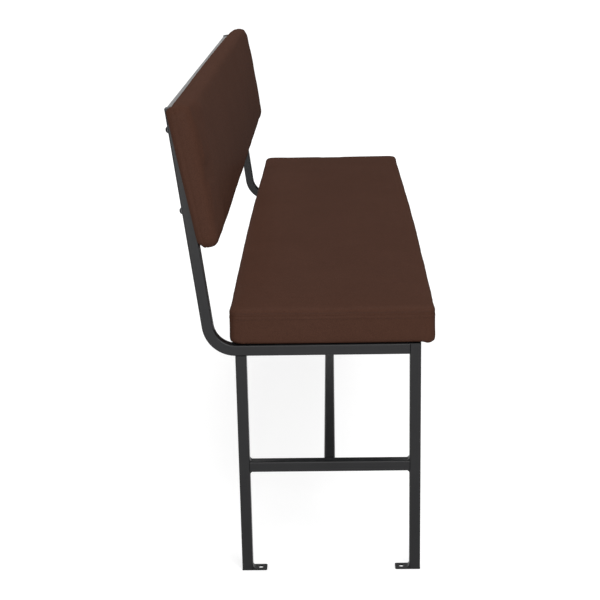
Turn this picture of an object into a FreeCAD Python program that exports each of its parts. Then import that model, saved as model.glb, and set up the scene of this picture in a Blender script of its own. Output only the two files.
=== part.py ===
"""Upholstered bench: a welded square-tube frame with a screwed-on seat pad and a bolted-on back pad.

Frame: +Z up, the bench's length along X, the sitter faces -Y. The origin is on the floor, in the
middle of the four floor-fixing holes. Left is the -X end; at the right end both pads reach past the
frame. Sizes are in millimetres and degrees.
"""
import FreeCAD
import Part

import os
import re

import Sketcher

Vector = FreeCAD.Vector
Rotation = FreeCAD.Rotation
Constraint = Sketcher.Constraint

SIZES = {
    # Welded frame
    "frame_length": 1350,
    "frame_depth": 330,
    "seat_rail_height": 440,
    "cross_bar_height": 217,
    "tube_size": 20,
    "tube_wall": 1.5,
    "tube_corner": 2.5,
    "bend_radius": 50,
    "bend_setback": 42,
    "recline_angle": 7.1,
    "back_height": 861,
    "weld_leg": 4.5,
    "weld_hollow_radius": 7,
    # Foot plates with their floor-fixing holes
    "foot_plate_thickness": 3,
    "foot_plate_reach": 26,
    "foot_plate_corner": 3,
    "foot_hole_inset": 14.5,
    "foot_hole_diameter": 10,
    # Plastic caps in the uprights' top ends
    "cap_head_height": 1.5,
    "cap_plug_length": 12,
    "cap_clearance": 0.15,
    # Upholstery that both pads share
    "cover_thickness": 1.2,
    "cover_turn_under": 28,
    # Seat pad
    "seat_left_overhang": 2,
    "seat_right_overhang": 152,
    "seat_front_overhang": 26,
    "seat_rear_overhang": 10,
    "seat_edge_height": 65,
    "seat_crown": 5,
    "seat_draw_in": 2.5,
    "seat_corner": 22,
    "seat_edge_radius": 13,
    "seat_under_radius": 6,
    "seat_board_thickness": 15,
    "dust_cover_thickness": 0.8,
    "dust_cover_margin": 12,
    "screw_diameter": 5,
    "screw_length": 32,
    "screw_head_diameter": 10,
    "screw_head_height": 3,
    "screw_end_inset": 130,
    "screw_clearance": 0.25,
    # Back pad
    "back_left_overhang": 20,
    "back_right_overhang": 170,
    "back_pad_height": 250,
    "back_pad_rise": 9,
    "back_low_edge": 36,
    "back_high_edge": 28,
    "back_crown": 6,
    "back_draw_in": 2.5,
    "back_corner": 20,
    "back_edge_radius": 12,
    "back_under_radius": 5,
    "back_board_thickness": 12,
    "rear_panel_thickness": 4,
    "rear_panel_margin": 12,
    "rear_panel_edge_radius": 2,
    "bolt_diameter": 6,
    "bolt_length": 39,
    "bolt_head_diameter": 11,
    "bolt_head_height": 3.3,
    "bolt_socket_diameter": 4.6,
    "bolt_socket_depth": 2,
    "bolt_clearance": 0.3,
    "bolt_drop": 36,
    "bolt_spacing": 142,
    "washer_diameter": 13,
    "washer_thickness": 1.2,
    "tee_nut_flange_diameter": 19,
    "tee_nut_flange_thickness": 1.5,
    "tee_nut_barrel_diameter": 8,
    "tee_nut_barrel_length": 10,
    "tee_nut_clearance": 0.15,
}

# Places that several pieces share, in terms of the sizes
END_CENTRE = "(frame_length / 2 - tube_size / 2)"
LEG_CENTRE = "(frame_depth / 2 - tube_size / 2)"
LEG_INNER_FACE = "(frame_depth / 2 - tube_size)"
RAIL_CENTRE = "(seat_rail_height - tube_size / 2)"
CROSS_BAR_CENTRE = "(cross_bar_height - tube_size / 2)"
SPAN_BETWEEN_ENDS = "(frame_length - 2 * tube_size)"
UPRIGHT_FOOT_Y = "(frame_depth / 2 + bend_setback)"
UPRIGHT_TOP_Y = f"({UPRIGHT_FOOT_Y} + (back_height - {RAIL_CENTRE}) * tan(recline_angle))"
SEAT_LENGTH = "(frame_length + seat_left_overhang + seat_right_overhang)"
SEAT_MIDDLE_X = "((seat_right_overhang - seat_left_overhang) / 2)"
SEAT_DEPTH = "(frame_depth + seat_front_overhang + seat_rear_overhang)"
SEAT_MIDDLE_Y = "((seat_rear_overhang - seat_front_overhang) / 2)"
SEAT_UNDERSIDE = "(seat_rail_height + dust_cover_thickness)"
BACK_PAD_LENGTH = "(frame_length + back_left_overhang + back_right_overhang)"
BACK_PAD_MIDDLE_X = "((back_right_overhang - back_left_overhang) / 2)"
BACK_PAD_MIDDLE = "(back_pad_rise - back_pad_height / 2)"
BACK_PAD_REAR = "(tube_size / 2 + rear_panel_thickness)"
SCREW_STEP = f"({SPAN_BETWEEN_ENDS} / 2 - screw_end_inset)"

SIDES = {"left": -1, "right": 1}
CUT_MARGIN = 10

document = FreeCAD.newDocument("Bench")
sheet = document.addObject("Spreadsheet::Sheet", "Sizes")
for row, (alias, size) in enumerate(SIZES.items(), start=1):
    sheet.set(f"A{row}", alias)
    sheet.set(f"B{row}", str(size))
    sheet.setAlias(f"B{row}", alias)
document.recompute()

nodes = []


# Names, numbers and places

def cells(text):
    """The same expression with every size's name pointing at its cell."""
    return re.sub(r"[a-z_]+", lambda word: f"Sizes.{word[0]}" if word[0] in SIZES else word[0], text)


def number(text):
    return float(sheet.evalExpression(cells(text)))


def bind(item, prop, text):
    item.setExpression(prop, cells(text))


def place(item, x="0", y="0", z="0", axis=Vector(0, 0, 1), angle="0"):
    item.Placement = FreeCAD.Placement(Vector(), Rotation(axis, number(angle)))
    bind(item, "Placement.Base.x", x)
    bind(item, "Placement.Base.y", y)
    bind(item, "Placement.Base.z", z)
    bind(item, "Placement.Rotation.Angle", angle)


def place_on_back(item, x="0", along="0", out="0"):
    """Place in the reclined back: along runs up the upright from its top end, out faces the sitter."""
    place(
        item,
        x,
        f"{UPRIGHT_TOP_Y} + ({along}) * sin(recline_angle) - ({out}) * cos(recline_angle)",
        f"back_height + ({along}) * cos(recline_angle) + ({out}) * sin(recline_angle)",
        Vector(1, 0, 0),
        "90 - recline_angle",
    )


def node(item, label):
    item.Label = label
    nodes.append(item)
    return item


# Sketch helpers

def add_sketch(body, role, offset="0"):
    sketch = body.newObject("Sketcher::SketchObject", "Sketch")
    plane = next(feature for feature in body.Origin.OriginFeatures if feature.Role == role)
    sketch.AttachmentSupport = (plane, [""])
    sketch.MapMode = "FlatFace"
    bind(sketch, "AttachmentOffset.Base.z", offset)
    return sketch


def dimension(sketch, text, kind, *picks):
    index = sketch.addConstraint(Constraint(kind, *picks, number(text)))
    sketch.renameConstraint(index, f"size_{index}")
    bind(sketch, f"Constraints.size_{index}", text)


def locate(sketch, shape, end, x, y):
    """Dimension one point of a shape from the sketch's origin."""
    for kind, text in (("DistanceX", x), ("DistanceY", y)):
        if number(text) < 0:
            dimension(sketch, f"-({text})", kind, shape, end, -1, 1)
        else:
            dimension(sketch, text, kind, -1, 1, shape, end)


def point(x, y):
    return Vector(number(x), number(y), 0)


def closed_polygon(sketch, corners):
    """Straight sides through dimensioned corners, each an (x, y) pair of expressions."""
    points = [point(x, y) for x, y in corners]
    count = len(points)
    lines = [
        sketch.addGeometry(Part.LineSegment(points[index], points[(index + 1) % count]))
        for index in range(count)
    ]
    for index, line in enumerate(lines):
        sketch.addConstraint(Constraint("Coincident", line, 2, lines[(index + 1) % count], 1))
        locate(sketch, line, 1, *corners[index])
    return lines


def circle(sketch, diameter, x="0", y="0"):
    ring = sketch.addGeometry(Part.Circle(point(x, y), Vector(0, 0, 1), number(diameter) / 2))
    locate(sketch, ring, 3, x, y)
    dimension(sketch, diameter, "Diameter", ring)


def rounded_rectangle(sketch, width, height, corner, bow_x=None, bow_y=None):
    """Centred outline with corner arcs; bow_x and bow_y draw the long and short sides inwards."""
    half_x, half_y = number(width) / 2, number(height) / 2
    inner_x, inner_y = half_x - number(corner), half_y - number(corner)
    in_x = number(bow_y) if bow_y else 0
    in_y = number(bow_x) if bow_x else 0
    tangent_points = (
        ((inner_x, -half_y), (0, in_y - half_y), (-inner_x, -half_y)),
        ((-half_x, -inner_y), (in_x - half_x, 0), (-half_x, inner_y)),
        ((-inner_x, half_y), (0, half_y - in_y), (inner_x, half_y)),
        ((half_x, inner_y), (half_x - in_x, 0), (half_x, -inner_y)),
    )
    sides, corners = [], []
    for index, (start, middle, end) in enumerate(tangent_points):
        start, middle, end = Vector(*start), Vector(*middle), Vector(*end)
        bowed = bow_x if index % 2 == 0 else bow_y
        line = Part.Arc(start, middle, end) if bowed else Part.LineSegment(start, end)
        sides.append(sketch.addGeometry(line))
    signs = ((-1, -1), (-1, 1), (1, 1), (1, -1))
    for index, (sign_x, sign_y) in enumerate(signs):
        centre = Vector(sign_x * inner_x, sign_y * inner_y)
        diagonal = Vector(sign_x, sign_y).normalize() * number(corner)
        start = Vector(*tangent_points[index][2])
        end = Vector(*tangent_points[(index + 1) % 4][0])
        corners.append(sketch.addGeometry(Part.Arc(start, centre + diagonal, end)))
    for index in range(4):
        join_tangent(sketch, sides[index], corners[index], sides[(index + 1) % 4])
    for index in (1, 2, 3):
        sketch.addConstraint(Constraint("Equal", corners[0], corners[index]))
    dimension(sketch, corner, "Radius", corners[0])
    if bow_x:
        for index, (sign_x, sign_y) in enumerate(signs):
            locate(sketch, corners[index], 3, f"{sign_x} * (({width}) / 2 - ({corner}))",
                   f"{sign_y} * (({height}) / 2 - ({corner}))")
        for index, (run, bow) in enumerate(((width, bow_x), (height, bow_y)) * 2):
            half_run = f"(({run}) / 2 - ({corner}))"
            dimension(sketch, f"({half_run}^2 + ({bow})^2) / (2 * ({bow}))", "Radius", sides[index])
        return
    for index in (0, 2):
        sketch.addConstraint(Constraint("Horizontal", sides[index]))
        sketch.addConstraint(Constraint("Vertical", sides[index + 1]))
    sketch.addConstraint(Constraint("Symmetric", sides[1], 1, sides[3], 1, -1, 1))
    dimension(sketch, width, "DistanceX", sides[1], 1, sides[3], 1)
    dimension(sketch, height, "DistanceY", sides[0], 1, sides[2], 1)


def join_tangent(sketch, side, corner, next_side):
    """Join a side, its corner arc and the next side end to end, whichever way the arcs were stored."""
    for line in (side, next_side):
        near = min(
            ((line_end, arc_end) for line_end in (1, 2) for arc_end in (1, 2)),
            key=lambda ends: sketch.getPoint(line, ends[0]).distanceToPoint(sketch.getPoint(corner, ends[1])),
        )
        sketch.addConstraint(Constraint("Tangent", line, near[0], corner, near[1]))


# Features

def new_body(name):
    return document.addObject("PartDesign::Body", name)


def pad(body, sketch, length, symmetric=False):
    feature = body.newObject("PartDesign::Pad", "Pad")
    feature.Profile = sketch
    feature.SideType = "Symmetric" if symmetric else "One side"
    bind(feature, "Length", length)
    document.recompute()
    return feature


def pocket_through(body, sketch, length):
    volume = body.Shape.Volume
    feature = body.newObject("PartDesign::Pocket", "Pocket")
    feature.Profile = sketch
    feature.SideType = "Symmetric"
    bind(feature, "Length", length)
    document.recompute()
    assert body.Shape.Volume < volume, f"{body.Name}: the pocket cuts nothing"
    return feature


def fillet(body, edges, radius):
    """Round edges of the body as it stands; edges are picked from its shape."""
    names = [
        f"Edge{index}"
        for index, edge in enumerate(body.Shape.Edges, start=1)
        if any(edge.isSame(pick) for pick in edges)
    ]
    base = body.Tip
    feature = body.newObject("PartDesign::Fillet", "Fillet")
    feature.Base = (base, names)
    bind(feature, "Radius", radius)
    document.recompute()
    return feature


def revolve(body, corners):
    """Turn a half section, drawn in the XZ plane, round the body's Z axis."""
    sketch = add_sketch(body, "XZ_Plane")
    closed_polygon(sketch, corners)
    feature = body.newObject("PartDesign::Revolution", "Revolution")
    feature.Profile = sketch
    feature.ReferenceAxis = (sketch, ["V_Axis"])
    document.recompute()
    return feature


def box(name, length, width, height):
    solid = document.addObject("Part::Box", name)
    bind(solid, "Length", length)
    bind(solid, "Width", width)
    bind(solid, "Height", height)
    return solid


def cylinder(name, diameter, height):
    solid = document.addObject("Part::Cylinder", name)
    bind(solid, "Radius", f"({diameter}) / 2")
    bind(solid, "Height", height)
    return solid


def group(name, items):
    compound = document.addObject("Part::Compound", name)
    compound.Links = items
    return compound


def boolean(kind, name, base, tool):
    result = document.addObject(f"Part::{kind}", name)
    result.Base = base
    result.Tool = tool
    document.recompute()
    return result


# Square tube

def tube_section(sketch):
    rounded_rectangle(sketch, "tube_size", "tube_size", "tube_corner")
    bore = "tube_size - 2 * tube_wall"
    rounded_rectangle(sketch, bore, bore, "tube_corner - tube_wall")


def straight_tube(label, role, length):
    """A cut length of tube, centred on its body's origin and square to the given plane."""
    body = new_body(label)
    sketch = add_sketch(body, role)
    tube_section(sketch)
    pad(body, sketch, length, symmetric=True)
    return body


def bent_side_tube(name, sign):
    """Seat rail, bend and reclined upright in one length, swept along its centre line."""
    body = new_body(name)
    path = add_sketch(body, "YZ_Plane")
    rail_start = point(f"-{LEG_INNER_FACE}", RAIL_CENTRE)
    tangent_run = "bend_radius * tan((90 - recline_angle) / 2)"
    bend_start = point(f"{UPRIGHT_FOOT_Y} - {tangent_run}", RAIL_CENTRE)
    bend_end = point(f"{UPRIGHT_FOOT_Y} + {tangent_run} * sin(recline_angle)",
                     f"{RAIL_CENTRE} + {tangent_run} * cos(recline_angle)")
    bend_middle = point(f"{UPRIGHT_FOOT_Y} - {tangent_run} + bend_radius * sin(45 - recline_angle / 2)",
                        f"{RAIL_CENTRE} + bend_radius * (1 - cos(45 - recline_angle / 2))")
    top = point(UPRIGHT_TOP_Y, "back_height")
    rail = path.addGeometry(Part.LineSegment(rail_start, bend_start))
    bend = path.addGeometry(Part.Arc(bend_start, bend_middle, bend_end))
    upright = path.addGeometry(Part.LineSegment(bend_end, top))
    path.addConstraint(Constraint("Horizontal", rail))
    path.addConstraint(Constraint("Tangent", rail, 2, bend, 1))
    path.addConstraint(Constraint("Tangent", bend, 2, upright, 1))
    locate(path, rail, 1, f"-{LEG_INNER_FACE}", RAIL_CENTRE)
    locate(path, upright, 2, UPRIGHT_TOP_Y, "back_height")
    dimension(path, "bend_radius", "Radius", bend)
    dimension(path, "90 - recline_angle", "Angle", upright)

    section = add_sketch(body, "XZ_Plane", LEG_INNER_FACE)
    bind(section, "AttachmentOffset.Base.y", RAIL_CENTRE)
    tube_section(section)
    document.recompute()
    sweep = body.newObject("PartDesign::AdditivePipe", "Sweep")
    sweep.Profile = section
    sweep.Spine = (path, ["Edge1", "Edge2", "Edge3"])
    place(body, x=f"{sign} * {END_CENTRE}")
    document.recompute()
    return body


def build_frame():
    for side, sign in SIDES.items():
        end_x = f"{sign} * {END_CENTRE}"
        tube = bent_side_tube(f"{side}_bent_tube", sign)
        holes = group(f"{side}_bolt_holes", bolt_holes("bolt_diameter + 2 * bolt_clearance", side))
        node(boolean("Cut", f"{side}_drilled_tube", tube, holes), f"{side}_side_tube")

        front_length = "seat_rail_height - foot_plate_thickness"
        front_leg = node(straight_tube(f"{side}_front", "XY_Plane", front_length), f"{side}_front_leg")
        place(front_leg, end_x, f"-{LEG_CENTRE}", "(seat_rail_height + foot_plate_thickness) / 2")

        rear_length = "seat_rail_height - tube_size - foot_plate_thickness"
        rear_leg = node(straight_tube(f"{side}_rear", "XY_Plane", rear_length), f"{side}_rear_leg")
        place(rear_leg, end_x, LEG_CENTRE, "(seat_rail_height - tube_size + foot_plate_thickness) / 2")

        cross_bar = node(straight_tube(f"{side}_cross", "XZ_Plane", f"2 * {LEG_INNER_FACE}"), f"{side}_cross_bar")
        place(cross_bar, end_x, "0", CROSS_BAR_CENTRE)

        node(foot_plate(f"{side}_front_plate", end_x, f"-{LEG_CENTRE}", "0"), f"{side}_front_foot_plate")
        node(foot_plate(f"{side}_rear_plate", end_x, LEG_CENTRE, "180"), f"{side}_rear_foot_plate")
        node(upright_cap(f"{side}_cap", end_x), f"{side}_upright_cap")
        node(group(f"{side}_beads", weld_beads(side, sign)), f"{side}_weld_beads")

    stretcher = node(straight_tube("long_tube", "YZ_Plane", SPAN_BETWEEN_ENDS), "stretcher")
    place(stretcher, z=CROSS_BAR_CENTRE)
    for name, y in (("front_seat_rail", f"-{LEG_CENTRE}"), ("rear_seat_rail", LEG_CENTRE)):
        rail = straight_tube(f"{name}_tube", "YZ_Plane", SPAN_BETWEEN_ENDS)
        holes = add_sketch(rail, "XY_Plane")
        for step in (-1, 0, 1):
            circle(holes, "screw_diameter + 2 * screw_clearance", f"{step} * {SCREW_STEP}")
        pocket_through(rail, holes, "2 * tube_size")
        place(node(rail, name), y=y, z=RAIL_CENTRE)
    top_rail = node(straight_tube("top_tube", "YZ_Plane", SPAN_BETWEEN_ENDS), "top_rail")
    place_on_back(top_rail, along="-tube_size / 2")


def foot_plate(name, x, y, turn):
    """Plate that closes a leg and reaches inwards with one floor-fixing hole; its inner end is rounded."""
    body = new_body(name)
    sketch = add_sketch(body, "XY_Plane")
    half = "tube_size / 2"
    inner_end = "tube_size / 2 + foot_plate_reach"
    closed_polygon(sketch, [
        (f"-{half}", f"-{half}"), (half, f"-{half}"), (half, inner_end), (f"-{half}", inner_end),
    ])
    circle(sketch, "foot_hole_diameter", y="tube_size / 2 + foot_hole_inset")
    pad(body, sketch, "foot_plate_thickness")
    far_y = number(inner_end)
    corners = [
        edge for edge in body.Shape.Edges
        if edge.BoundBox.ZLength > number("foot_plate_thickness") / 2
        and edge.BoundBox.YMin > far_y - 0.01
    ]
    fillet(body, corners, "foot_plate_corner")
    place(body, x, y, angle=turn)
    return body


def upright_cap(name, x):
    """Push-in cap: a rounded head on the tube's end and a plug inside its bore."""
    body = new_body(name)
    head = add_sketch(body, "XZ_Plane")
    rounded_rectangle(head, "tube_size", "tube_size", "tube_corner")
    head_pad = pad(body, head, "cap_head_height")
    head_pad.Reversed = True
    document.recompute()
    rim = max(body.Shape.Faces, key=lambda face: face.CenterOfMass.y)
    fillet(body, rim.Edges, "cap_head_height / 2")
    plug = add_sketch(body, "XZ_Plane")
    plug_size = "tube_size - 2 * tube_wall - 2 * cap_clearance"
    rounded_rectangle(plug, plug_size, plug_size, "tube_corner - tube_wall")
    pad(body, plug, "cap_plug_length")
    place_on_back(body, x)
    return body


def weld_bead(name, role):
    """Hollow-faced fillet weld in the corner of the plane's two positive axes."""
    body = new_body(name)
    sketch = add_sketch(body, role)
    leg = number("weld_leg")
    toe_a, toe_b, root = Vector(leg, 0), Vector(0, leg), Vector()
    # the arc's middle lies one sagitta nearer the root than the middle of its chord
    half_chord = leg / 2 ** 0.5
    radius = number("weld_hollow_radius")
    sagitta = radius - (radius ** 2 - half_chord ** 2) ** 0.5
    middle = (toe_a + toe_b) * 0.5 - Vector(1, 1).normalize() * sagitta
    base = sketch.addGeometry(Part.LineSegment(root, toe_a))
    face = sketch.addGeometry(Part.Arc(toe_a, middle, toe_b))
    wall = sketch.addGeometry(Part.LineSegment(toe_b, root))
    face_start, face_end = sketch.getPoint(face, 1), sketch.getPoint(face, 2)
    first, last = (1, 2) if face_start.distanceToPoint(toe_a) < face_end.distanceToPoint(toe_a) else (2, 1)
    sketch.addConstraint(Constraint("Coincident", base, 1, -1, 1))
    sketch.addConstraint(Constraint("Coincident", wall, 2, -1, 1))
    sketch.addConstraint(Constraint("Coincident", base, 2, face, first))
    sketch.addConstraint(Constraint("Coincident", wall, 1, face, last))
    locate(sketch, base, 2, "weld_leg", "0")
    locate(sketch, wall, 1, "0", "weld_leg")
    dimension(sketch, "weld_hollow_radius", "Radius", face)
    pad(body, sketch, "tube_size - 2 * tube_corner", symmetric=True)
    return body


def weld_beads(side, sign):
    """Beads above and below the cross bar, beside the stretcher and on the foot plates of one end frame."""
    beads = []
    end_x = f"{sign} * {END_CENTRE}"
    across = Vector(1, 0, 0)
    for leg, leg_sign, above, below in (("front", -1, "0", "270"), ("rear", 1, "90", "180")):
        y = f"{leg_sign} * {LEG_INNER_FACE}"
        for level, z, turn in (
            ("bar_top", "cross_bar_height", above),
            ("bar_under", "cross_bar_height - tube_size", below),
            ("foot", "foot_plate_thickness", above),
        ):
            bead = weld_bead(f"{side}_{leg}_{level}_bead", "YZ_Plane")
            place(bead, end_x, y, z, across, turn)
            beads.append(bead)
    turns = {-1: ("0", "270"), 1: ("90", "180")}
    for face_sign, turn in zip((1, -1), turns[sign]):
        bead = weld_bead(f"{side}_stretcher_bead", "XY_Plane")
        place(bead, f"{sign} * {SPAN_BETWEEN_ENDS} / 2", f"{face_sign} * tube_size / 2", CROSS_BAR_CENTRE,
              angle=turn)
        beads.append(bead)
    return beads


# Pads

def cushion(name, length, depth, low_edge, high_edge, crown, draw_in, corner, edge_radius, under_radius):
    """Crowned pad on a flat underside: drawn-in sides, rounded corners and soft edges.

    Length runs along X and depth along Y; low_edge and high_edge are its heights at -Y and +Y.
    """
    body = new_body(name)
    outline = add_sketch(body, "XY_Plane")
    rounded_rectangle(outline, length, depth, corner, bow_x=draw_in, bow_y=f"({draw_in}) / 2")
    full_height = f"({low_edge}) + ({high_edge}) + ({crown})"
    pad(body, outline, full_height)

    top = add_sketch(body, "YZ_Plane")
    half = f"(({depth}) / 2 + {CUT_MARGIN})"
    rise = f"(({high_edge}) - ({low_edge}))"
    chord = f"sqrt((2 * {half})^2 + {rise}^2)"
    low, high = point(f"-{half}", low_edge), point(half, high_edge)
    crest = point("0", f"(({low_edge}) + ({high_edge})) / 2 + ({crown})")
    ceiling = f"{full_height} + {CUT_MARGIN}"
    arc = top.addGeometry(Part.Arc(low, crest, high))
    arc_low, arc_high = (1, 2) if top.getPoint(arc, 1).distanceToPoint(low) < 1 else (2, 1)
    path = [high, point(half, ceiling), point(f"-{half}", ceiling), low]
    lines = [top.addGeometry(Part.LineSegment(*ends)) for ends in zip(path, path[1:])]
    for line, following in zip(lines, lines[1:]):
        top.addConstraint(Constraint("Coincident", line, 2, following, 1))
    top.addConstraint(Constraint("Coincident", arc, arc_high, lines[0], 1))
    top.addConstraint(Constraint("Coincident", lines[2], 2, arc, arc_low))
    top.addConstraint(Constraint("Vertical", lines[0]))
    top.addConstraint(Constraint("Horizontal", lines[1]))
    top.addConstraint(Constraint("Vertical", lines[2]))
    locate(top, arc, arc_low, f"-{half}", low_edge)
    locate(top, arc, arc_high, half, high_edge)
    dimension(top, f"{chord}^2 / (8 * ({crown})) + ({crown}) / 2", "Radius", arc)
    dimension(top, ceiling, "DistanceY", -1, 1, lines[1], 1)
    pocket_through(body, top, f"({length}) + 2 * {CUT_MARGIN}")

    crowned = max((face for face in body.Shape.Faces if face.BoundBox.ZMin > 1), key=lambda face: face.Area)
    fillet(body, crowned.Edges, edge_radius)
    underside = next(face for face in body.Shape.Faces if face.BoundBox.ZMax < 0.001)
    fillet(body, underside.Edges, under_radius)
    return body


def upholster(name, put, outer, board_thickness):
    """Split a pad into its cover, its foam and its board; put places each helper at (x, y, z) in the pad."""
    length, depth, low_edge, high_edge, crown, draw_in, corner, edge_radius, under_radius = outer
    wall = "cover_thickness"
    inner = (
        f"{length} - 2 * {wall}", f"{depth} - 2 * {wall}", f"{low_edge} - 2 * {wall}",
        f"{high_edge} - 2 * {wall}", crown, draw_in, f"{corner} - {wall}", f"{edge_radius} - {wall}",
        f"{under_radius} - {wall}",
    )
    shell = cushion(f"{name}_outside", *outer)
    put(shell, "0", "0", "0")
    filling = cushion(f"{name}_inside", *inner)
    put(filling, "0", "0", wall)

    turn_under = "2 * cover_turn_under"
    window = box(f"{name}_window", f"{length} - {turn_under}", f"{depth} - {turn_under}", f"2 * {wall}")
    put(window, f"cover_turn_under - {length} / 2", f"cover_turn_under - {depth} / 2", f"-{wall} / 2")
    hollow = boolean("Cut", f"{name}_hollow", shell, filling)
    cover = boolean("Cut", f"{name}_open_cover", hollow, window)

    board_block = box(f"{name}_board_block", length, depth, board_thickness)
    put(board_block, f"-{length} / 2", f"-{depth} / 2", wall)
    foam = boolean("Cut", f"{name}_foam_block", filling, board_block)
    board = boolean("Common", f"{name}_board_blank", filling, board_block)
    return cover, foam, board


def screw_places():
    for y in (f"-{LEG_CENTRE}", LEG_CENTRE):
        for step in (-1, 0, 1):
            yield f"{step} * {SCREW_STEP}", y


def build_seat():
    def put(item, x, y, z):
        place(item, f"{SEAT_MIDDLE_X} + {x}", f"{SEAT_MIDDLE_Y} + {y}", f"{SEAT_UNDERSIDE} + {z}")

    outer = (
        SEAT_LENGTH, SEAT_DEPTH, "seat_edge_height", "seat_edge_height", "seat_crown", "seat_draw_in",
        "seat_corner", "seat_edge_radius", "seat_under_radius",
    )
    cover, foam, board = upholster("seat", put, outer, "seat_board_thickness")

    dust_cover = new_body("seat_cloth")
    sketch = add_sketch(dust_cover, "XY_Plane")
    rounded_rectangle(sketch, f"{SEAT_LENGTH} - 2 * dust_cover_margin",
                      f"{SEAT_DEPTH} - 2 * dust_cover_margin", "seat_corner - dust_cover_margin / 2")
    pad(dust_cover, sketch, "dust_cover_thickness")
    place(dust_cover, SEAT_MIDDLE_X, SEAT_MIDDLE_Y, "seat_rail_height")

    rail_underside = "seat_rail_height - tube_size"
    screws, holes = [], []
    for index, (x, y) in enumerate(screw_places()):
        screw = new_body(f"seat_screw_{index}")
        revolve(screw, [
            ("0", "-screw_head_height"),
            ("screw_head_diameter / 2", "-screw_head_height / 2"),
            ("screw_head_diameter / 2", "0"),
            ("screw_diameter / 2", "0"),
            ("screw_diameter / 2", "screw_length - screw_diameter / 2"),
            ("0", "screw_length"),
        ])
        place(screw, x, y, rail_underside)
        screws.append(screw)
        hole = cylinder(f"screw_hole_{index}", "screw_diameter", "screw_length")
        place(hole, x, y, rail_underside)
        holes.append(hole)
    drill = group("screw_holes", holes)

    node(boolean("Cut", "seat_drilled_cover", cover, drill), "seat_cover")
    node(foam, "seat_foam")
    node(boolean("Cut", "seat_drilled_board", board, drill), "seat_board")
    node(boolean("Cut", "seat_drilled_cloth", dust_cover, drill), "seat_dust_cover")
    node(group("all_screws", screws), "seat_screws")


def bolt_places(sides=SIDES):
    for side in sides:
        for along in ("-bolt_drop", "-bolt_drop - bolt_spacing"):
            yield f"{SIDES[side]} * {END_CENTRE}", along


def bolt_holes(diameter, *sides):
    """Round cutters along each back bolt, from behind the upright to the pad's face."""
    cutters = []
    for x, along in bolt_places(sides or SIDES):
        cutter = cylinder("bolt_hole", diameter, "bolt_length + tube_size")
        place_on_back(cutter, x, along, "-tube_size")
        cutters.append(cutter)
    return cutters


def build_back():
    def put(item, x, y, z):
        place_on_back(item, f"{BACK_PAD_MIDDLE_X} + {x}", f"{BACK_PAD_MIDDLE} + {y}",
                      f"{BACK_PAD_REAR} + {z}")

    outer = (
        BACK_PAD_LENGTH, "back_pad_height", "back_low_edge", "back_high_edge", "back_crown", "back_draw_in",
        "back_corner", "back_edge_radius", "back_under_radius",
    )
    cover, foam, board = upholster("back", put, outer, "back_board_thickness")

    panel = new_body("back_panel")
    sketch = add_sketch(panel, "XY_Plane")
    rounded_rectangle(sketch, f"{BACK_PAD_LENGTH} - 2 * rear_panel_margin",
                      "back_pad_height - 2 * rear_panel_margin", "back_corner - rear_panel_margin / 2")
    pad(panel, sketch, "rear_panel_thickness")
    rear_face = min(panel.Shape.Faces, key=lambda face: face.CenterOfMass.z)
    fillet(panel, rear_face.Edges, "rear_panel_edge_radius")
    place_on_back(panel, BACK_PAD_MIDDLE_X, BACK_PAD_MIDDLE, "tube_size / 2")

    board_front = f"{BACK_PAD_REAR} + cover_thickness + back_board_thickness"
    bolts, washers, tee_nuts, nut_holes, flange_recesses = [], [], [], [], []
    for index, (x, along) in enumerate(bolt_places()):
        bolts.append(back_bolt(index, x, along))
        washers.append(washer(index, x, along))
        tee_nuts.append(tee_nut(index, x, along, board_front))
        barrel = cylinder(f"nut_hole_{index}", "tee_nut_barrel_diameter + 2 * tee_nut_clearance",
                          "2 * back_board_thickness")
        place_on_back(barrel, x, along, f"{board_front} - 1.5 * back_board_thickness")
        nut_holes.append(barrel)
        recess = cylinder(f"flange_recess_{index}", "tee_nut_flange_diameter + 2 * tee_nut_clearance",
                          "tee_nut_flange_thickness + tee_nut_clearance")
        place_on_back(recess, x, along, board_front)
        flange_recesses.append(recess)

    shank_holes = group("shank_holes", bolt_holes("bolt_diameter + 2 * bolt_clearance"))
    node(boolean("Cut", "back_drilled_cover", cover, group("cover_holes", nut_holes)), "back_cover")
    node(boolean("Cut", "back_drilled_foam", foam, group("foam_recesses", flange_recesses)), "back_foam")
    node(boolean("Cut", "back_drilled_board", board, group("board_holes", nut_holes)), "back_board")
    node(boolean("Cut", "back_drilled_panel", panel, shank_holes), "back_rear_panel")
    node(group("all_bolts", bolts), "back_bolts")
    node(group("all_washers", washers), "back_washers")
    node(group("all_tee_nuts", tee_nuts), "back_tee_nuts")


def back_bolt(index, x, along):
    """Button-head bolt with a six-sided socket, pushed in from behind the upright."""
    blank = new_body(f"bolt_blank_{index}")
    revolve(blank, [
        ("0", "-bolt_head_height"),
        ("bolt_head_diameter / 4", "-bolt_head_height * 0.93"),
        ("bolt_head_diameter * 0.43", "-bolt_head_height * 0.55"),
        ("bolt_head_diameter / 2", "0"),
        ("bolt_diameter / 2", "0"),
        ("bolt_diameter / 2", "bolt_length"),
        ("0", "bolt_length"),
    ])
    under_head = "-tube_size / 2 - washer_thickness"
    place_on_back(blank, x, along, under_head)
    socket = document.addObject("Part::Prism", f"bolt_socket_{index}")
    socket.Polygon = 6
    bind(socket, "Circumradius", "bolt_socket_diameter / 2")
    bind(socket, "Height", "bolt_socket_depth + bolt_head_height")
    place_on_back(socket, x, along, f"{under_head} - 2 * bolt_head_height")
    return boolean("Cut", f"bolt_{index}", blank, socket)


def washer(index, x, along):
    ring = new_body(f"washer_{index}")
    sketch = add_sketch(ring, "XY_Plane")
    circle(sketch, "washer_diameter")
    circle(sketch, "bolt_diameter + 2 * bolt_clearance")
    pad(ring, sketch, "washer_thickness")
    place_on_back(ring, x, along, "-tube_size / 2 - washer_thickness")
    return ring


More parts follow.
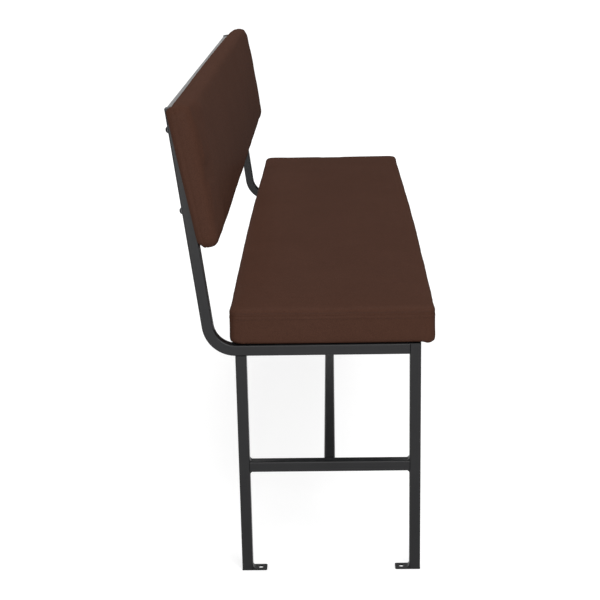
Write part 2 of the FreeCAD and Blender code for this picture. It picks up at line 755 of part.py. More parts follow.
def tee_nut(index, x, along, board_front):
    """Flanged nut let into the board from the foam's side."""
    nut = new_body(f"tee_nut_{index}")
    bore = "bolt_diameter / 2 + tee_nut_clearance"
    revolve(nut, [
        (bore, "-tee_nut_barrel_length"),
        ("tee_nut_barrel_diameter / 2", "-tee_nut_barrel_length"),
        ("tee_nut_barrel_diameter / 2", "0"),
        ("tee_nut_flange_diameter / 2", "0"),
        ("tee_nut_flange_diameter / 2", "tee_nut_flange_thickness"),
        (bore, "tee_nut_flange_thickness"),
    ])
    place_on_back(nut, x, along, board_front)
    return nut


def write_parts():
    document.recompute()
    for item in document.Objects:
        assert not {"Invalid", "Error"} & set(item.State), f"{item.Label}: {item.State}"
    for item in nodes:
        shape = item.Shape
        assert not shape.isNull() and shape.isValid() and shape.Solids, f"{item.Label}: bad shape"
    os.makedirs("parts", exist_ok=True)
    for item in nodes:
        item.Shape.exportStep(f"parts/{item.Label}.step")
        print(item.Label, len(item.Shape.Solids), round(item.Shape.Volume / 1000, 2), "cm3")


build_frame()
build_seat()
build_back()
write_parts()
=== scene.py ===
import math

import bmesh
import bpy
from mathutils import Matrix, Vector, noise
from mathutils.bvhtree import BVHTree


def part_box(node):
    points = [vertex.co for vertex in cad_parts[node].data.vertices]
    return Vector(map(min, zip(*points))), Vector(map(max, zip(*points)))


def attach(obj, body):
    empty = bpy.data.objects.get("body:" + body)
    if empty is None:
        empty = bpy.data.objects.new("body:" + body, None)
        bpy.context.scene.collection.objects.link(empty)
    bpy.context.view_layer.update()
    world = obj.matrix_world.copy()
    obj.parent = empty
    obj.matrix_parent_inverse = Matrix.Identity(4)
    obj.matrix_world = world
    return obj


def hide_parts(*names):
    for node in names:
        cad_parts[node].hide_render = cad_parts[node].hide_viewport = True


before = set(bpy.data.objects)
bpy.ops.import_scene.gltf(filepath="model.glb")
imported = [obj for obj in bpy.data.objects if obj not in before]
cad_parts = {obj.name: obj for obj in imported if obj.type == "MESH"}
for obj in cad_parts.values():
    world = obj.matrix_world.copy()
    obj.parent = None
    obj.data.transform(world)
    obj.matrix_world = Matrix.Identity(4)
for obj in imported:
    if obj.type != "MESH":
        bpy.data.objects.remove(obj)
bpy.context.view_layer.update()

MM = 0.001

# Sizes that the pads share with the construction, in metres and degrees
RECLINE = math.radians(7.1)
TUBE = 20 * MM
REAR_PANEL = 4 * MM
SEAT_EDGE_HEIGHT = 65 * MM
BACK_HEIGHT = 250 * MM
BACK_RISE = 9 * MM
BACK_LOW_EDGE = 36 * MM
BACK_HIGH_EDGE = 28 * MM

# Camera, from the photograph's edges; the picture is square
PICTURE = 600
FOCAL_PIXELS = 1354.27
CAMERA_PLACE = Vector((-2.95106, -0.01196, 1.18545))
CAMERA_YAW = math.radians(1.502)
CAMERA_PITCH = math.radians(16.232)
CAMERA_ROLL = math.radians(-1.165)
SENSOR = 36.0

# White room and pale floor; the floor's glow is what the camera sees of it besides the light it reflects
ROOM_FILL = 0.55
ROOM_SEEN = 1.0
FLOOR_HALF = 60
FLOOR_DROP = 0.2 * MM
FLOOR_TONE = 0.55
FLOOR_GLOW = (0.55, 0.80)
FLOOR_GLOW_RANGE = (0.8, 4.0)

# Pad forms before they swell; the short ends belly less than the long sides, by a divisor
SEAT_FORM = {
    "corner": 16 * MM, "belly": 3.5 * MM, "edge_radius": 8 * MM, "under_radius": 8 * MM, "crown": 2 * MM,
}
BACK_FORM = {
    "corner": 20 * MM, "belly": 2.5 * MM, "edge_radius": 14 * MM, "under_radius": 4 * MM, "crown": 4 * MM,
}
ENDS_STIFFER = 3

# How far the pads' edges drop towards the ends and top corners, and the length of each slope
SEAT_LIFT = 1.5 * MM
SEAT_END_DROP = 1 * MM
SEAT_END_SLOPE = 60 * MM
BACK_END_DROP = 4 * MM
BACK_END_SLOPE = 90 * MM
BACK_CORNER_DROP = 5 * MM
BACK_CORNER_SLOPE = 70 * MM
BACK_FOOT_STRETCH = 3 * MM

# Mesh of a pad form: point spacing, steps round the curves, rings as shares of the side and of the top,
# and the share of the corner radius that the last ring stays off the middle
FORM_STEP = 12 * MM
LEAST_CORNER_STEPS = 4
LEAST_SIDE_STEPS = 2
UNDER_STEPS = 3
EDGE_STEPS = 5
SIDE_RINGS = (0.3, 0.6, 0.9)
TOP_RINGS = (0.15, 0.35, 0.6, 0.85)
MIDDLE_CLEAR = 0.2

# Swelling: mesh size, the strip held on the board, the longest move, and the cloth
VOXEL = 6 * MM
HELD_BELOW = 2 * MM
SWELL_CAP = 4.5 * MM
SWELL_FRAMES = 20
CLOTH = {
    "quality": 4, "mass": 0.3, "tension_stiffness": 30, "compression_stiffness": 30, "shear_stiffness": 10,
    "bending_stiffness": 1.0, "use_pressure": True, "uniform_pressure_force": 4.0,
}

# Sewn covers: the seams, the edge loops cut beside them, puckers, unevenness, and folds at the corners
SEAT_SEAM_DROP = 13 * MM
SEAT_SEAM_DEPTH = 0.6 * MM
SEAT_FOLD_DEPTH = 0.7 * MM
BACK_SEAM = 9 * MM
BACK_SEAM_DEPTH = 0.8 * MM
BACK_FOLD_DEPTH = 0.0
SEAM_LOOPS = (-3 * MM, -1.2 * MM, 0, 1.2 * MM, 3 * MM)
LOOP_SNAP = 0.1 * MM
GROOVE_WIDTH = 1.4 * MM
PUCKER_DEPTH = 0.35 * MM
PUCKER_WIDTH = 9 * MM
PUCKERS_PER_METRE = 95
UNEVEN_DEPTH = 0.7 * MM
UNEVEN_FULL_HEIGHT = 20 * MM
UNEVEN_PER_METRE = 11
FOLDS_PER_RADIAN = 16
FOLD_CENTRE = 60 * MM
FOLD_REACH = 42 * MM
FOLD_LEVEL = 4 * MM
FOLD_HEIGHT = 14 * MM
FOLD_START = (0.3 * MM, 2 * MM)

# Stitches beside the seat's seam; a ring is its place along the half length and its share of the radius
STITCH_OFFSET = 5.5 * MM
STITCH_PITCH = 6 * MM
STITCH_HALF = 2.1 * MM
STITCH_RADIUS = 0.45 * MM
STITCH_LIFT = 0.25 * MM
STITCH_END_DIP = 0.45 * MM
STITCH_RINGS = ((-1, 0.35), (-0.6, 0.9), (0, 1.0), (0.6, 0.9), (1, 0.35))
STITCH_SIDES = 6
STITCH_SEARCH = 50 * MM

# Sag of the seat's lower edge in front of the legs
SAG = 3.4 * MM
SAG_HEIGHT = 26 * MM
SAG_RANGE = (1 * MM, 14 * MM)

# How far the back cover's rim is drawn back over the frame. A rim is the distances from the edge where the
# move is full and where it ends, and a start is the share of the back's height from which it is full.
END_RIM = (8 * MM, 17 * MM)
TOP_RIM = (5 * MM, 8 * MM)
RIM_HEIGHT = 26 * MM
NEAR_REACH = 4 * MM
NEAR_REACH_GAIN = 17.5 * MM
NEAR_START = 0.05
FAR_REACH = 7 * MM
FAR_START = 0.12
TOP_REACH = 9.5 * MM
TOP_REACH_LOSS = 1.5 * MM

# How far the back's free far end, its top corner and the near foot settle
FREE_END = 200 * MM
FREE_END_SETTLE = 5 * MM
FREE_CORNER = 70 * MM
FREE_CORNER_START = 0.6
FREE_CORNER_SETTLE = 5 * MM
FREE_CORNER_THIN = 4 * MM
FREE_CORNER_HEIGHT = 25 * MM
NEAR_FOOT = (10 * MM, 60 * MM)
NEAR_FOOT_TOP = 0.2
NEAR_FOOT_SETTLE = 3 * MM

# Range that most of a noise texture lies in, and the Mix node's colour sockets
NOISE_RANGE = (0.25, 0.75)
MIX_COLOURS = (6, 7)
MIX_RESULT = 2

scene = bpy.context.scene


# Materials

class NodeTree:
    """A node tree with shorthands to add and link nodes."""

    def __init__(self, tree):
        self.tree = tree

    def add(self, kind, **settings):
        """Add a node; each setting is one of its properties or the value of an input."""
        node = self.tree.nodes.new(kind)
        for name, value in settings.items():
            if hasattr(node, name):
                setattr(node, name, value)
            else:
                node.inputs[name].default_value = value
        return node

    def link(self, source, target):
        self.tree.links.new(source, target)

    def map_range(self, source, given, wanted, kind="LINEAR"):
        """Carry a value from the given range over to the wanted one."""
        node = self.add("ShaderNodeMapRange", clamp=True, interpolation_type=kind)
        for name, value in zip(("From Min", "From Max", "To Min", "To Max"), (*given, *wanted)):
            node.inputs[name].default_value = value
        self.link(source, node.inputs["Value"])
        return node.outputs["Result"]


class Shader(NodeTree):
    """A node material; texture coordinates are the object's own metres."""

    def __init__(self, name):
        self.material = bpy.data.materials.new(name)
        self.material.use_nodes = True
        super().__init__(self.material.node_tree)
        self.surface = self.tree.nodes["Principled BSDF"]
        self.metres = self.add("ShaderNodeTexCoord").outputs["Object"]

    def texture(self, kind, place=None, **settings):
        node = self.add(kind, **settings)
        self.link(self.metres if place is None else place, node.inputs["Vector"])
        return node.outputs

    def noise(self, per_metre, detail=3.0, rough=0.5):
        return self.texture("ShaderNodeTexNoise", Scale=per_metre, Detail=detail, Roughness=rough)["Fac"]

    def ramp(self, source, low=0.0, high=1.0):
        """Spread a noise between two numbers."""
        return self.map_range(source, NOISE_RANGE, (low, high))

    def mix(self, factor, first, second):
        blend = self.add("ShaderNodeMix", data_type="RGBA")
        self.link(factor, blend.inputs["Factor"])
        for index, colour in zip(MIX_COLOURS, (first, second)):
            if hasattr(colour, "is_linked"):
                self.link(colour, blend.inputs[index])
            else:
                blend.inputs[index].default_value = (*colour, 1.0)
        return blend.outputs[MIX_RESULT]

    def colour(self, source):
        self.link(source, self.surface.inputs["Base Color"])

    def tint(self, source, dark, light):
        """Colour the surface between two tones by a noise."""
        self.colour(self.mix(self.ramp(source), dark, light))

    def roughness(self, source, low, high):
        self.link(self.ramp(source, low, high), self.surface.inputs["Roughness"])

    def uniform(self, name, value):
        self.surface.inputs[name].default_value = value

    def bump(self, *layers):
        """Stack height layers, each a (height, depth in metres) pair."""
        normal = None
        for height, depth in layers:
            bump = self.add("ShaderNodeBump", Strength=1.0, Distance=depth)
            self.link(height, bump.inputs["Height"])
            if normal:
                self.link(normal, bump.inputs["Normal"])
            normal = bump.outputs["Normal"]
        self.link(normal, self.surface.inputs["Normal"])


def faux_leather():
    """Fine pebbled grain with painted shade darkening its creases, on brown that changes slowly."""
    patch_dark, patch_light = (0.058, 0.0265, 0.0175), (0.070, 0.0325, 0.0220)
    # the crease colour is painted shade for the recesses of the grain
    blotch, crease_shade = (0.050, 0.0225, 0.0150), (0.040, 0.0180, 0.0120)
    warp_depth, crease_width = 1.2 * MM, 0.35
    shader = Shader("brown_faux_leather")
    warp = shader.texture("ShaderNodeTexNoise", Scale=160.0, Detail=2.0)["Color"]
    shift = shader.add("ShaderNodeVectorMath", operation="MULTIPLY_ADD")
    shader.link(warp, shift.inputs[0])
    shift.inputs[1].default_value = (warp_depth, warp_depth, warp_depth)
    shader.link(shader.metres, shift.inputs[2])
    warped = shift.outputs["Vector"]
    pebbles = shader.texture("ShaderNodeTexVoronoi", warped, feature="DISTANCE_TO_EDGE", Scale=620.0)
    grain = shader.map_range(pebbles["Distance"], (0.0, crease_width), (0.0, 1.0))
    pores = shader.noise(2600.0, detail=2.0)
    patches = shader.noise(9.0, detail=4.0)
    blotches = shader.noise(60.0, detail=3.0)
    tone = shader.mix(shader.ramp(patches), patch_dark, patch_light)
    tone = shader.mix(shader.ramp(blotches, 0.0, 0.35), tone, blotch)
    # painted shade: the grain's recessed creases take the darker crease colour
    shader.colour(shader.mix(grain, crease_shade, tone))
    shader.roughness(patches, 0.50, 0.60)
    shader.bump((grain, 0.10 * MM), (pores, 0.04 * MM), (blotches, 0.06 * MM))
    shader.uniform("Specular IOR Level", 0.0)
    shader.uniform("Coat Weight", 0.03)
    shader.uniform("Coat Roughness", 0.38)
    return shader.material


def powder_coat(name, ripple=False):
    """Semi-gloss black with a little orange peel; ripple is a weld bead under the coat."""
    shader = Shader(name)
    peel = shader.noise(900.0, detail=2.0)
    speckle = shader.noise(3200.0, detail=1.0)
    cloud = shader.noise(14.0, detail=3.0)
    shader.tint(cloud, dark=(0.0042, 0.0042, 0.0048), light=(0.0064, 0.0064, 0.0071))
    shader.roughness(cloud, 0.28, 0.35)
    layers = [(peel, 0.06 * MM), (speckle, 0.01 * MM)]
    if ripple:
        layers.append((shader.noise(420.0, detail=1.0), 0.9 * MM))
    shader.bump(*layers)
    shader.uniform("Specular IOR Level", 0.235)
    return shader.material


def dust_cloth():
    shader = Shader("black_dust_cloth")
    fibres = shader.noise(1400.0, detail=6.0, rough=0.7)
    felt = shader.noise(180.0, detail=4.0)
    shader.tint(fibres, dark=(0.010, 0.010, 0.010), light=(0.028, 0.028, 0.029))
    shader.roughness(felt, 0.85, 0.98)
    shader.bump((fibres, 0.3 * MM), (felt, 0.2 * MM))
    return shader.material


def dull_black(name, specular):
    """Fine-grained black, for moulded plastic and for oxidised steel."""
    shader = Shader(name)
    texture = shader.noise(1900.0, detail=2.0)
    shader.tint(texture, dark=(0.014, 0.014, 0.015), light=(0.022, 0.022, 0.023))
    shader.roughness(texture, 0.48, 0.60)
    shader.bump((texture, 0.08 * MM))
    shader.uniform("Specular IOR Level", specular)
    return shader.material


def bare_metal(name, dark, light, rough, rough_spread=0.07):
    """Plated steel with fine spangles."""
    shader = Shader(name)
    spangle = shader.texture("ShaderNodeTexVoronoi", Scale=900.0)["Distance"]
    haze = shader.noise(500.0, detail=3.0)
    shader.colour(shader.mix(spangle, dark, light))
    shader.roughness(haze, rough - rough_spread, rough + rough_spread)
    shader.bump((haze, 0.04 * MM))
    shader.uniform("Metallic", 1.0)
    return shader.material


def thread():
    shader = Shader("brown_thread")
    twist = shader.noise(2400.0, detail=2.0)
    shader.tint(twist, dark=(0.026, 0.0115, 0.0080), light=(0.044, 0.0200, 0.0140))
    shader.roughness(twist, 0.55, 0.7)
    shader.bump((twist, 0.1 * MM))
    shader.uniform("Specular IOR Level", 0.05)
    return shader.material


# Mesh helpers

def smoothstep(low, high, value):
    share = min(1.0, max(0.0, (value - low) / (high - low)))
    return share * share * (3 - 2 * share)


def fade(full, none, value):
    """1 up to full, then smoothly down to 0 at none."""
    return 1 - smoothstep(full, none, value)


def bell(distance, width):
    return math.exp(-(distance / width) ** 2)


def quarter_turn(steps):
    return [math.radians(90 * step / steps) for step in range(steps + 1)]


def mesh_piece(name, bm, material):
    mesh = bpy.data.meshes.new(name)
    bm.to_mesh(mesh)
    bm.free()
    mesh.materials.append(material)
    for polygon in mesh.polygons:
        polygon.use_smooth = True
    piece = bpy.data.objects.new(name, mesh)
    scene.collection.objects.link(piece)
    return piece


def close_rings(bm, rings):
    """Faces between rings of vertices, with a cap on the first and on the last; gives back the last."""
    for lower, upper in zip(rings, rings[1:]):
        for index, vertex in enumerate(lower):
            following = (index + 1) % len(lower)
            bm.faces.new((vertex, lower[following], upper[following], upper[index]))
    bm.faces.new(list(reversed(rings[0])))
    return bm.faces.new(rings[-1])


def evaluated_mesh(piece):
    graph = bpy.context.evaluated_depsgraph_get()
    return bpy.data.meshes.new_from_object(piece.evaluated_get(graph))


def swap_mesh(piece, mesh):
    """Put a finished mesh in place of the piece's own, with its materials and without its modifiers."""
    old = piece.data
    materials = list(old.materials)
    piece.modifiers.clear()
    piece.data = mesh
    mesh.materials.clear()
    for material in materials:
        mesh.materials.append(material)
    for polygon in mesh.polygons:
        polygon.use_smooth = True
    bpy.data.meshes.remove(old)


def remesh(piece):
    modifier = piece.modifiers.new("voxels", "REMESH")
    modifier.mode = "VOXEL"
    modifier.voxel_size = VOXEL
    modifier.use_smooth_shade = True
    swap_mesh(piece, evaluated_mesh(piece))


def inflate(piece):
    """Swell the cover by cloth simulation; its lowest strip stays on the board."""
    rest = [vertex.co.copy() for vertex in piece.data.vertices]
    held = piece.vertex_groups.new(name="held")
    held.add([index for index, point in enumerate(rest) if point.z < HELD_BELOW], 1.0, "REPLACE")
    cloth = piece.modifiers.new("swell", "CLOTH")
    for name, value in CLOTH.items():
        setattr(cloth.settings, name, value)
    cloth.settings.effector_weights.gravity = 0.0
    cloth.settings.vertex_group_mass = held.name
    cloth.collision_settings.use_collision = False
    cloth.point_cache.frame_start = 1
    cloth.point_cache.frame_end = SWELL_FRAMES
    for step in range(1, SWELL_FRAMES + 1):
        scene.frame_set(step)
    swollen = evaluated_mesh(piece)
    scene.frame_set(1)
    moves = [vertex.co - rest[vertex.index] for vertex in swollen.vertices]
    longest = max(move.length for move in moves)
    share = min(1.0, SWELL_CAP / longest)
    for vertex, move in zip(swollen.vertices, moves):
        vertex.co = rest[vertex.index] + move * share
    swap_mesh(piece, swollen)
    piece.vertex_groups.clear()


def subdivide(piece):
    modifier = piece.modifiers.new("smooth", "SUBSURF")
    modifier.levels = 1
    modifier.render_levels = 1
    swap_mesh(piece, evaluated_mesh(piece))


# Camera, room, floor and lamps

def build_camera():
    forward = Vector((math.cos(CAMERA_YAW) * math.cos(CAMERA_PITCH),
                      math.sin(CAMERA_YAW) * math.cos(CAMERA_PITCH), -math.sin(CAMERA_PITCH)))
    level = forward.cross(Vector((0, 0, 1))).normalized()
    upright = level.cross(forward)
    right = level * math.cos(CAMERA_ROLL) + upright * math.sin(CAMERA_ROLL)
    up = upright * math.cos(CAMERA_ROLL) - level * math.sin(CAMERA_ROLL)
    data = bpy.data.cameras.new("camera")
    data.sensor_width = SENSOR
    data.lens = SENSOR * FOCAL_PIXELS / PICTURE
    camera = bpy.data.objects.new("camera", data)
    axes = Matrix((right, up, -forward)).transposed().to_4x4()
    camera.matrix_world = Matrix.Translation(CAMERA_PLACE) @ axes
    scene.collection.objects.link(camera)
    scene.camera = camera


def seen_directly(nodes):
    """1 for camera, mirror and see-through rays, 0 for light that falls on the object."""
    path = nodes.add("ShaderNodeLightPath")
    total = path.outputs["Is Camera Ray"]
    for name in ("Is Glossy Ray", "Is Transmission Ray"):
        either = nodes.add("ShaderNodeMath", operation="MAXIMUM")
        nodes.link(total, either.inputs[0])
        nodes.link(path.outputs[name], either.inputs[1])
        total = either.outputs[0]
    return total


def build_room():
    world = bpy.data.worlds.new("studio")
    scene.world = world
    world.use_nodes = True
    nodes = NodeTree(world.node_tree)
    background = world.node_tree.nodes["Background"]
    background.inputs["Color"].default_value = (1.0, 1.0, 1.0, 1.0)
    strength = nodes.map_range(seen_directly(nodes), (0.0, 1.0), (ROOM_FILL, ROOM_SEEN))
    nodes.link(strength, background.inputs["Strength"])


def pale_floor():
    """Diffuse grey that also glows to the camera, more so far out, where it meets the white room."""
    material = bpy.data.materials.new("pale_floor")
    material.use_nodes = True
    material.node_tree.nodes.clear()
    nodes = NodeTree(material.node_tree)
    diffuse = nodes.add("ShaderNodeBsdfDiffuse", Color=(FLOOR_TONE, FLOOR_TONE, FLOOR_TONE, 1.0))
    glow = nodes.add("ShaderNodeEmission")
    distance = nodes.add("ShaderNodeVectorMath", operation="LENGTH")
    nodes.link(nodes.add("ShaderNodeTexCoord").outputs["Object"], distance.inputs[0])
    whiten = nodes.map_range(distance.outputs["Value"], FLOOR_GLOW_RANGE, FLOOR_GLOW, kind="SMOOTHSTEP")
    lift = nodes.add("ShaderNodeMath", operation="MULTIPLY")
    nodes.link(seen_directly(nodes), lift.inputs[0])
    nodes.link(whiten, lift.inputs[1])
    nodes.link(lift.outputs[0], glow.inputs["Strength"])
    total = nodes.add("ShaderNodeAddShader")
    nodes.link(diffuse.outputs[0], total.inputs[0])
    nodes.link(glow.outputs[0], total.inputs[1])
    nodes.link(total.outputs[0], nodes.add("ShaderNodeOutputMaterial").inputs["Surface"])
    return material


def build_floor():
    bm = bmesh.new()
    bmesh.ops.create_grid(bm, x_segments=2, y_segments=2, size=FLOOR_HALF)
    bmesh.ops.translate(bm, verts=bm.verts, vec=(0, 0, -FLOOR_DROP))
    floor = mesh_piece("floor", bm, pale_floor())


def area_light(name, place, target, size, watts):
    data = bpy.data.lights.new(name, "AREA")
    data.shape = "SQUARE"
    data.size = size
    data.energy = watts
    lamp = bpy.data.objects.new(name, data)
    lamp.location = place
    lamp.rotation_euler = (Vector(target) - Vector(place)).to_track_quat("-Z", "Y").to_euler()
    scene.collection.objects.link(lamp)


def build_lights():
    area_light("key", place=(-3.2, -1.5, 2.3), target=(-0.3, 0.0, 0.5), size=2.2, watts=75)
    area_light("front", place=(-4.0, 0.4, 1.1), target=(-0.6, 0.0, 0.5), size=2.0, watts=50)
    area_light("top", place=(0.4, -0.4, 3.2), target=(0.3, 0.0, 0.4), size=2.6, watts=55)
    area_light("rear", place=(0.9, 3.4, 1.9), target=(0.1, 0.2, 0.6), size=2.6, watts=55)


# Pads

def outline(length, depth, corner, belly, step):
    """Points and outward normals round a bellied rounded rectangle, anticlockwise from the +X side.

    The short ends belly less than the long sides.
    """
    half_x, half_y = length / 2 - corner, depth / 2 - corner
    centres = ((half_x, half_y), (-half_x, half_y), (-half_x, -half_y), (half_x, -half_y))
    stops = []
    for index, centre in enumerate(centres):
        turns = max(LEAST_CORNER_STEPS, int(corner * math.pi / 2 / step))
        for turn in range(turns + 1):
            angle = math.radians(90 * (index + turn / turns))
            normal = Vector((math.cos(angle), math.sin(angle)))
            stops.append((Vector(centre) + normal * corner, normal))
        begin = stops[-1][0]
        finish = Vector(centres[(index + 1) % len(centres)]) + normal * corner
        count = max(LEAST_SIDE_STEPS, int((finish - begin).length / step))
        swell = belly if (finish - begin).length > depth else belly / ENDS_STIFFER
        for place in range(1, count):
            share = place / count
            stops.append((begin.lerp(finish, share) + normal * swell * math.sin(math.pi * share), normal))
    return stops


def pad_form(length, depth, height, corner, belly, edge_radius, under_radius, crown):
    """Closed pad: rings up the sides and over the soft edge, then a crowned top.

    height(x, y) is the edge height at a place in the pad.
    """
    stops = outline(length, depth, corner, belly, FORM_STEP)
    bm = bmesh.new()
    rings = []

    def ring(inset, level):
        places = [point - normal * inset for point, normal in stops]
        rings.append([
            bm.verts.new((place.x, place.y, level(height(place.x, place.y)))) for place in places
        ])

    for angle in quarter_turn(UNDER_STEPS):
        ring(under_radius * (1 - math.sin(angle)),
             lambda top, a=angle: under_radius * (1 - math.cos(a)))
    for share in SIDE_RINGS:
        ring(0, lambda top, s=share: under_radius + (top - edge_radius - under_radius) * s)
    for angle in quarter_turn(EDGE_STEPS):
        ring(edge_radius * (1 - math.cos(angle)),
             lambda top, a=angle: top - edge_radius * (1 - math.sin(a)))
    reach = depth / 2 - edge_radius - corner * MIDDLE_CLEAR
    for share in TOP_RINGS:
        ring(edge_radius + reach * share, lambda top, s=share: top + crown * (1 - (1 - s) ** 2))
    top = close_rings(bm, rings)
    bmesh.ops.triangulate(bm, faces=[top], ngon_method="BEAUTY")
    bmesh.ops.recalc_face_normals(bm, faces=bm.faces)
    return bm


def swell_pad(piece):
    remesh(piece)
    inflate(piece)
    subdivide(piece)


def cut_level(piece, *levels):
    """Add an edge loop round the pad at each level."""
    bm = bmesh.new()
    bm.from_mesh(piece.data)
    for level in levels:
        geometry = list(bm.verts) + list(bm.edges) + list(bm.faces)
        bmesh.ops.bisect_plane(
            bm, geom=geometry, dist=LOOP_SNAP, plane_co=(0, 0, level), plane_no=(0, 0, 1))
    bm.to_mesh(piece.data)
    bm.free()


def tailor(piece, seam, seam_depth, fold_depth):
    """Sewn-cover details: a seam pressed in all round, puckers beside it, corner folds and unevenness."""
    cut_level(piece, *(seam + offset for offset in SEAM_LOOPS))
    points = [vertex.co.copy() for vertex in piece.data.vertices]
    normals = [vertex.normal.copy() for vertex in piece.data.vertices]
    half_x = max(point.x for point in points)
    half_y = max(point.y for point in points)
    moved = []
    for point, normal in zip(points, normals):
        off_seam = abs(point.z - seam)
        upright = 1 - abs(normal.z)
        groove = -seam_depth * bell(off_seam, GROOVE_WIDTH) * upright
        ripple = noise.noise(point * PUCKERS_PER_METRE)
        pucker = PUCKER_DEPTH * ripple * bell(off_seam, PUCKER_WIDTH) * upright
        wave = noise.noise(point * UNEVEN_PER_METRE)
        uneven = UNEVEN_DEPTH * wave * smoothstep(0, UNEVEN_FULL_HEIGHT, point.z)
        past_x, past_y = abs(point.x) - half_x, abs(point.y) - half_y
        turn = math.atan2(past_y + FOLD_CENTRE, past_x + FOLD_CENTRE)
        at_corner = bell(math.hypot(past_x, past_y), FOLD_REACH)
        low = bell(point.z - FOLD_LEVEL, FOLD_HEIGHT) * smoothstep(*FOLD_START, point.z)
        fold = fold_depth * math.sin(turn * FOLDS_PER_RADIAN) * at_corner * low
        moved.extend(point + normal * (pucker + groove + uneven + fold))
    piece.data.vertices.foreach_set("co", moved)
    piece.data.update()


def add_stitch(bm, place, along, surface):
    """One stitch: a little bolster, fatter in the middle, lying on the cover."""
    across = surface.cross(along).normalized()
    rings = []
    for share, swell in STITCH_RINGS:
        lift = STITCH_LIFT - STITCH_END_DIP * share * share
        centre = place + along * share * STITCH_HALF + surface * lift
        ring = []
        for side in range(STITCH_SIDES):
            angle = math.tau * side / STITCH_SIDES
            spoke = across * math.cos(angle) + surface * math.sin(angle)
            ring.append(bm.verts.new(centre + spoke * swell * STITCH_RADIUS))
        rings.append(ring)
    close_rings(bm, rings)


def stitch_row(bm, piece, path, level):
    """Small sunk stitches along a path of (point, normal) stops, found on the pad's side at one level."""
    tree = BVHTree.FromPolygons([vertex.co for vertex in piece.data.vertices],
                                [polygon.vertices for polygon in piece.data.polygons])
    travelled = 0.0
    closed = path + path[:1]
    for (begin, begin_normal), (finish, finish_normal) in zip(closed, closed[1:]):
        span = (finish - begin).length
        while travelled < span:
            share = travelled / span
            side = begin.lerp(finish, share)
            normal = begin_normal.lerp(finish_normal, share).normalized()
            start = (side + normal * STITCH_SEARCH).to_3d() + Vector((0, 0, level))
            hit, surface, _, _ = tree.ray_cast(start, -normal.to_3d())
            if hit:
                add_stitch(bm, hit, Vector((-normal.y, normal.x, 0)), surface)
            travelled += STITCH_PITCH
        travelled -= span


def finish_pad(piece, *nodes):
    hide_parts(*nodes)
    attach(piece, "root")


def droop_front(piece, middle_y):
    """Let the overhang in front of the legs sag a little past the frame's top."""
    leg_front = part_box("left_front_leg")[0][1] - middle_y
    for vertex in piece.data.vertices:
        point = vertex.co
        past_leg = smoothstep(*SAG_RANGE, leg_front - point.y)
        point.z -= SAG * past_leg * fade(0, SAG_HEIGHT, point.z)


def seat_cushion(leather, stitching):
    low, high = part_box("seat_cover")
    length, depth = high[0] - low[0], high[1] - low[1]
    middle_x, middle_y = (low[0] + high[0]) / 2, (low[1] + high[1]) / 2
    half = length / 2

    def height(x, y):
        at_end = smoothstep(half - SEAT_END_SLOPE, half, abs(x))
        return SEAT_EDGE_HEIGHT + SEAT_LIFT - SEAT_END_DROP * at_end

    piece = mesh_piece("seat_cushion", pad_form(length, depth, height, **SEAT_FORM), leather)
    swell_pad(piece)
    droop_front(piece, middle_y)
    seam = SEAT_EDGE_HEIGHT - SEAT_SEAM_DROP
    tailor(piece, seam, SEAT_SEAM_DEPTH, SEAT_FOLD_DEPTH)
    bm = bmesh.new()
    path = outline(length, depth, SEAT_FORM["corner"], SEAT_FORM["belly"], STITCH_PITCH)
    for offset in (-STITCH_OFFSET, STITCH_OFFSET):
        stitch_row(bm, piece, path, seam + offset)
    stitches = mesh_piece("seat_stitches", bm, stitching)
    place = Matrix.Translation((middle_x, middle_y, low[2]))
    piece.data.transform(place)
    stitches.data.transform(place)
    finish_pad(piece, "seat_cover", "seat_foam", "seat_board")
    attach(stitches, "root")


def back_frame():
    """Matrix of the reclined back: X along the bench, Y up the uprights from their top, Z to the sitter."""
    low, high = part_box("top_rail")
    along = Vector((0, math.sin(RECLINE), math.cos(RECLINE)))
    out = Vector((0, -math.cos(RECLINE), math.sin(RECLINE)))
    origin = Vector((0, (low[1] + high[1]) / 2, (low[2] + high[2]) / 2)) + along * TUBE / 2
    axes = Matrix((Vector((1, 0, 0)), along, out)).transposed().to_4x4()
    return Matrix.Translation(origin) @ axes


def draw_back(piece, half_length):
    """Draw the cover's rim back over the top rail and past the near upright's outer side.

    The end that reaches past the frame has nothing under it and settles a little.
    """
    for vertex in piece.data.vertices:
        point = vertex.co
        share = (point.y + BACK_HEIGHT / 2) / BACK_HEIGHT
        from_near, from_far = half_length + point.x, half_length - point.x
        near_reach = (NEAR_REACH + NEAR_REACH_GAIN * share) * smoothstep(0, NEAR_START, share)
        far_reach = FAR_REACH * smoothstep(0, FAR_START, share)
        top_reach = TOP_REACH - TOP_REACH_LOSS * point.x / half_length
        reach = max(near_reach * fade(*END_RIM, from_near), far_reach * fade(*END_RIM, from_far),
                    top_reach * fade(*TOP_RIM, BACK_HEIGHT / 2 - point.y))
        point.z -= reach * fade(0, RIM_HEIGHT, point.z)
        corner = fade(0, FREE_CORNER, from_far) * smoothstep(FREE_CORNER_START, 1, share)
        point.z -= FREE_CORNER_THIN * corner * smoothstep(0, FREE_CORNER_HEIGHT, point.z)
        point.y -= FREE_END_SETTLE * fade(0, FREE_END, from_far) + FREE_CORNER_SETTLE * corner
        point.y -= NEAR_FOOT_SETTLE * fade(*NEAR_FOOT, from_near) * fade(0, NEAR_FOOT_TOP, share)


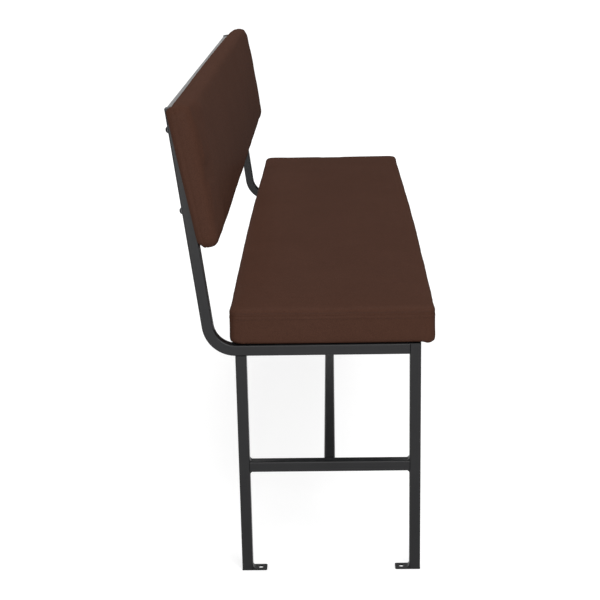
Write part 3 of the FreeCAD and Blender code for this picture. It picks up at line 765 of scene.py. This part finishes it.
def back_cushion(leather):
    low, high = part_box("back_cover")
    length = high[0] - low[0]
    half = length / 2
    rise = (BACK_HIGH_EDGE - BACK_LOW_EDGE) / BACK_HEIGHT
    middle = (BACK_HIGH_EDGE + BACK_LOW_EDGE) / 2

    def height(x, y):
        at_end = smoothstep(half - BACK_END_SLOPE, half, abs(x))
        at_top = smoothstep(BACK_HEIGHT / 2 - BACK_CORNER_SLOPE, BACK_HEIGHT / 2, y)
        return middle + rise * y - (BACK_END_DROP + BACK_CORNER_DROP * at_top) * at_end

    bm = pad_form(length, BACK_HEIGHT, height, **BACK_FORM)
    for vertex in bm.verts:
        vertex.co.y -= BACK_FOOT_STRETCH * fade(-BACK_HEIGHT / 2, 0, vertex.co.y)
    piece = mesh_piece("back_cushion", bm, leather)
    swell_pad(piece)
    tailor(piece, BACK_SEAM, BACK_SEAM_DEPTH, BACK_FOLD_DEPTH)
    draw_back(piece, half)
    offset = Matrix.Translation(
        ((low[0] + high[0]) / 2, BACK_RISE - BACK_HEIGHT / 2, TUBE / 2 + REAR_PANEL))
    piece.data.transform(back_frame() @ offset)
    finish_pad(piece, "back_cover", "back_foam", "back_board")


def dress_frame(leather):
    """Finish each node by the end of its name; whatever isn't listed is powder-coated."""
    coat = powder_coat("black_powder_coat")
    zinc = bare_metal("zinc_plating", dark=(0.42, 0.42, 0.43), light=(0.62, 0.62, 0.64), rough=0.36)
    smoked = bare_metal(
        "dark_zinc_plating", dark=(0.045, 0.045, 0.047), light=(0.075, 0.075, 0.078), rough=0.45)
    finishes = {
        "weld_beads": powder_coat("black_powder_coat_on_weld", ripple=True),
        "upright_cap": dull_black("black_moulded_plastic", specular=0.3),
        "seat_dust_cover": dust_cloth(),
        "seat_screws": zinc,
        "back_washers": smoked,
        "back_tee_nuts": zinc,
        "back_bolts": dull_black("black_oxide", specular=0.06),
        "back_rear_panel": leather,
    }
    for name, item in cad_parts.items():
        finish = next((material for ending, material in finishes.items() if name.endswith(ending)), coat)
        item.data.materials.clear()
        item.data.materials.append(finish)


scene.view_settings.view_transform = "Standard"
build_camera()
build_room()
build_floor()
build_lights()
leather = faux_leather()
dress_frame(leather)
seat_cushion(leather, thread())
back_cushion(leather)
